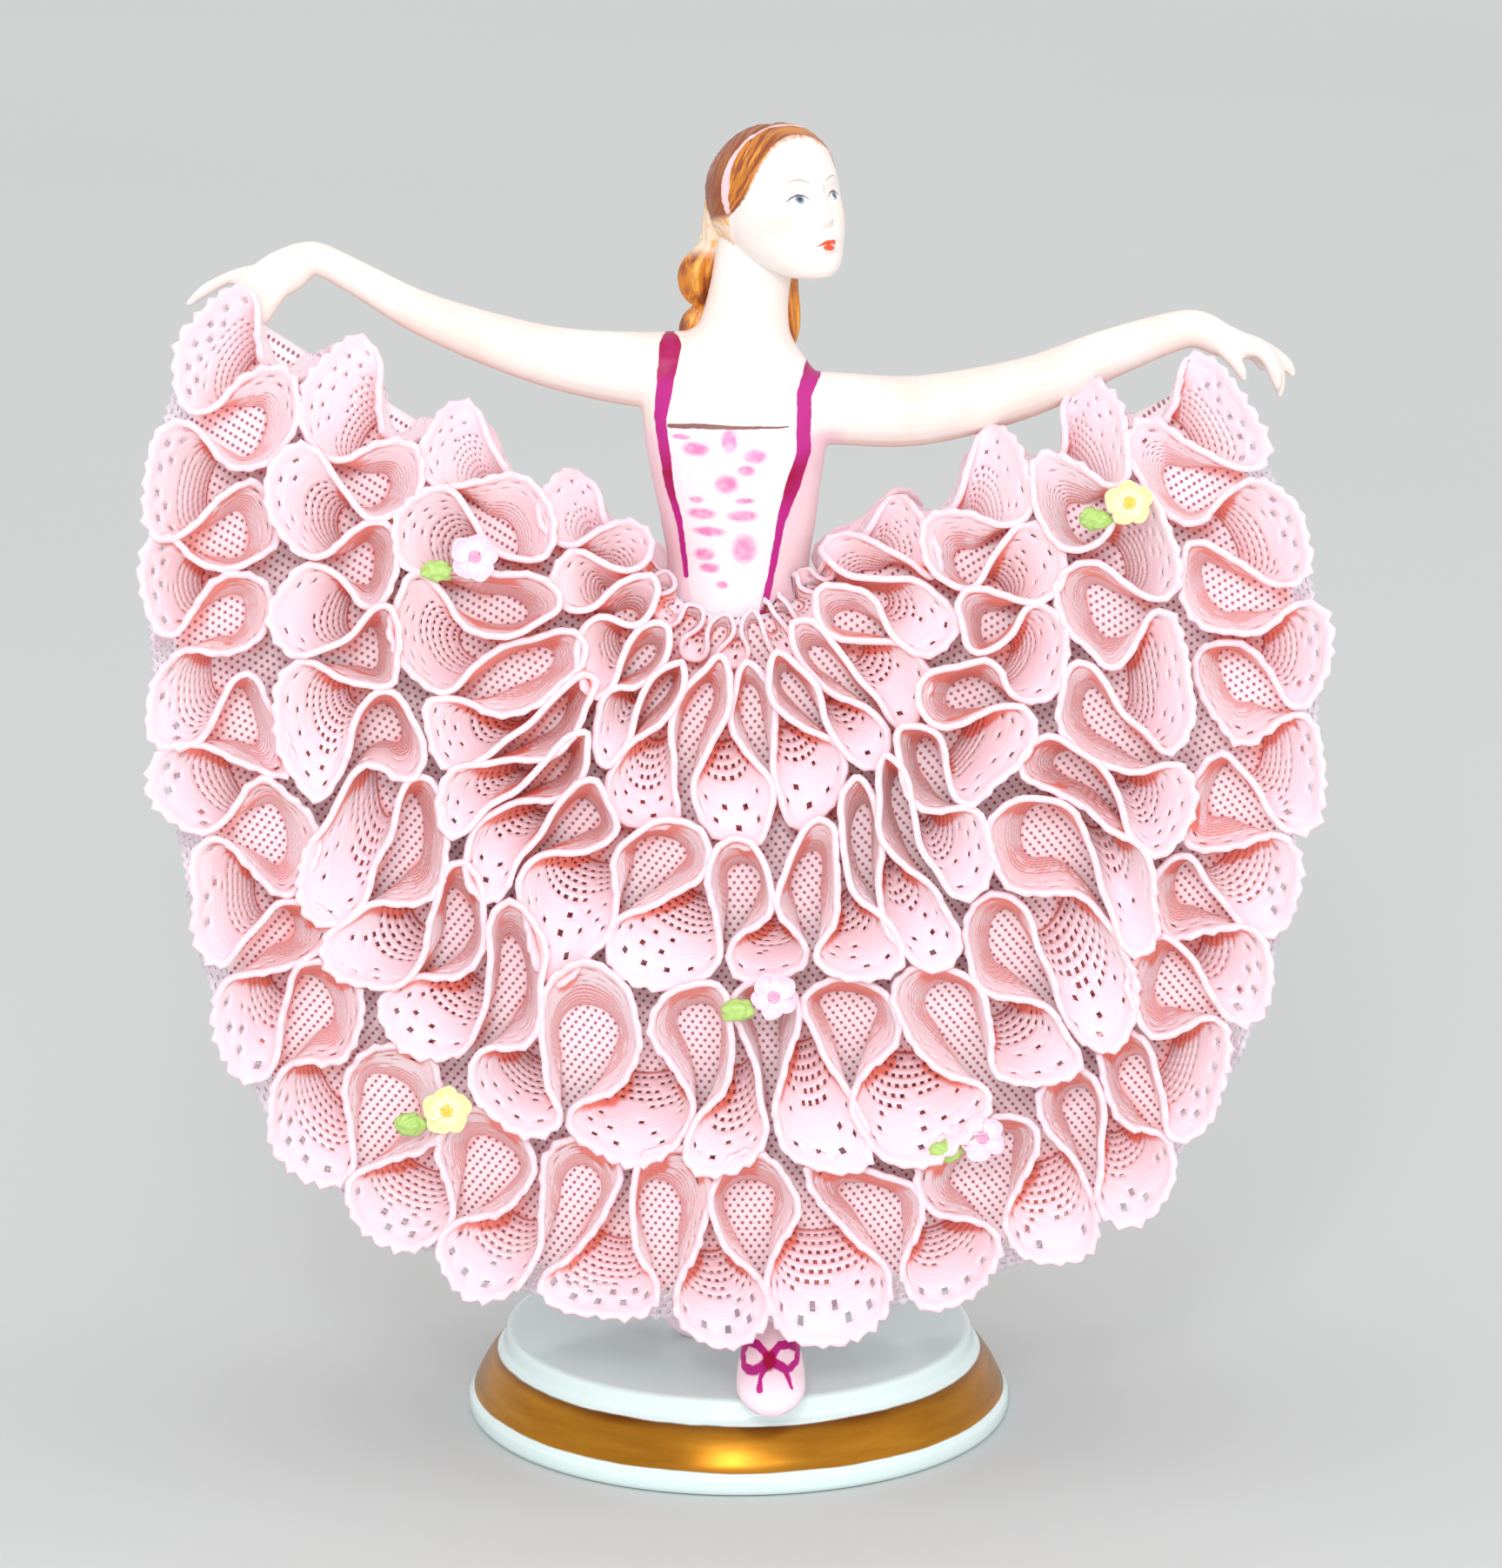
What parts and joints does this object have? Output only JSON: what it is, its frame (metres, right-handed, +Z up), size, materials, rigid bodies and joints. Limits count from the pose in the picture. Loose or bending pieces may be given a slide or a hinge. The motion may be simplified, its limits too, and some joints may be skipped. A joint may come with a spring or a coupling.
{
  "type": "porcelain lace figurine",
  "caption": "Porcelain dancer who holds out a crinoline of ruffled lace to both sides, on a round base with a gilt band, for display.",
  "frame": {"origin": "centre of the base's flat underside", "axes": "+Z up, -Y the way the dancer's body faces, -X towards her right hand"},
  "size_m": [0.1562, 0.0752, 0.1802],
  "materials": {
    "base_glaze": "gloss",
    "figure_glaze": "gloss",
    "net": "satin",
    "lace": "satin",
    "pink_petals": "gloss",
    "yellow_petals": "gloss",
    "leaf": "gloss"
  },
  "bodies": {
    "root": {"base": "base_glaze", "dancer": "figure_glaze", "underskirt": "net", "ruffle_front_1": "lace", "ruffle_front_2": "lace", "ruffle_front_3": "lace", "ruffle_front_4": "lace", "ruffle_front_5": "lace", "ruffle_back_1": "lace", "ruffle_back_2": "lace", "ruffle_back_3": "lace", "ruffle_back_4": "lace", "flower_1": "pink_petals", "flower_2": "yellow_petals", "flower_3": "pink_petals", "flower_4": "yellow_petals", "flower_5": "pink_petals", "leaf_1": "leaf", "leaf_2": "leaf", "leaf_3": "leaf", "leaf_4": "leaf", "leaf_5": "leaf"}
  },
  "joints": []
}
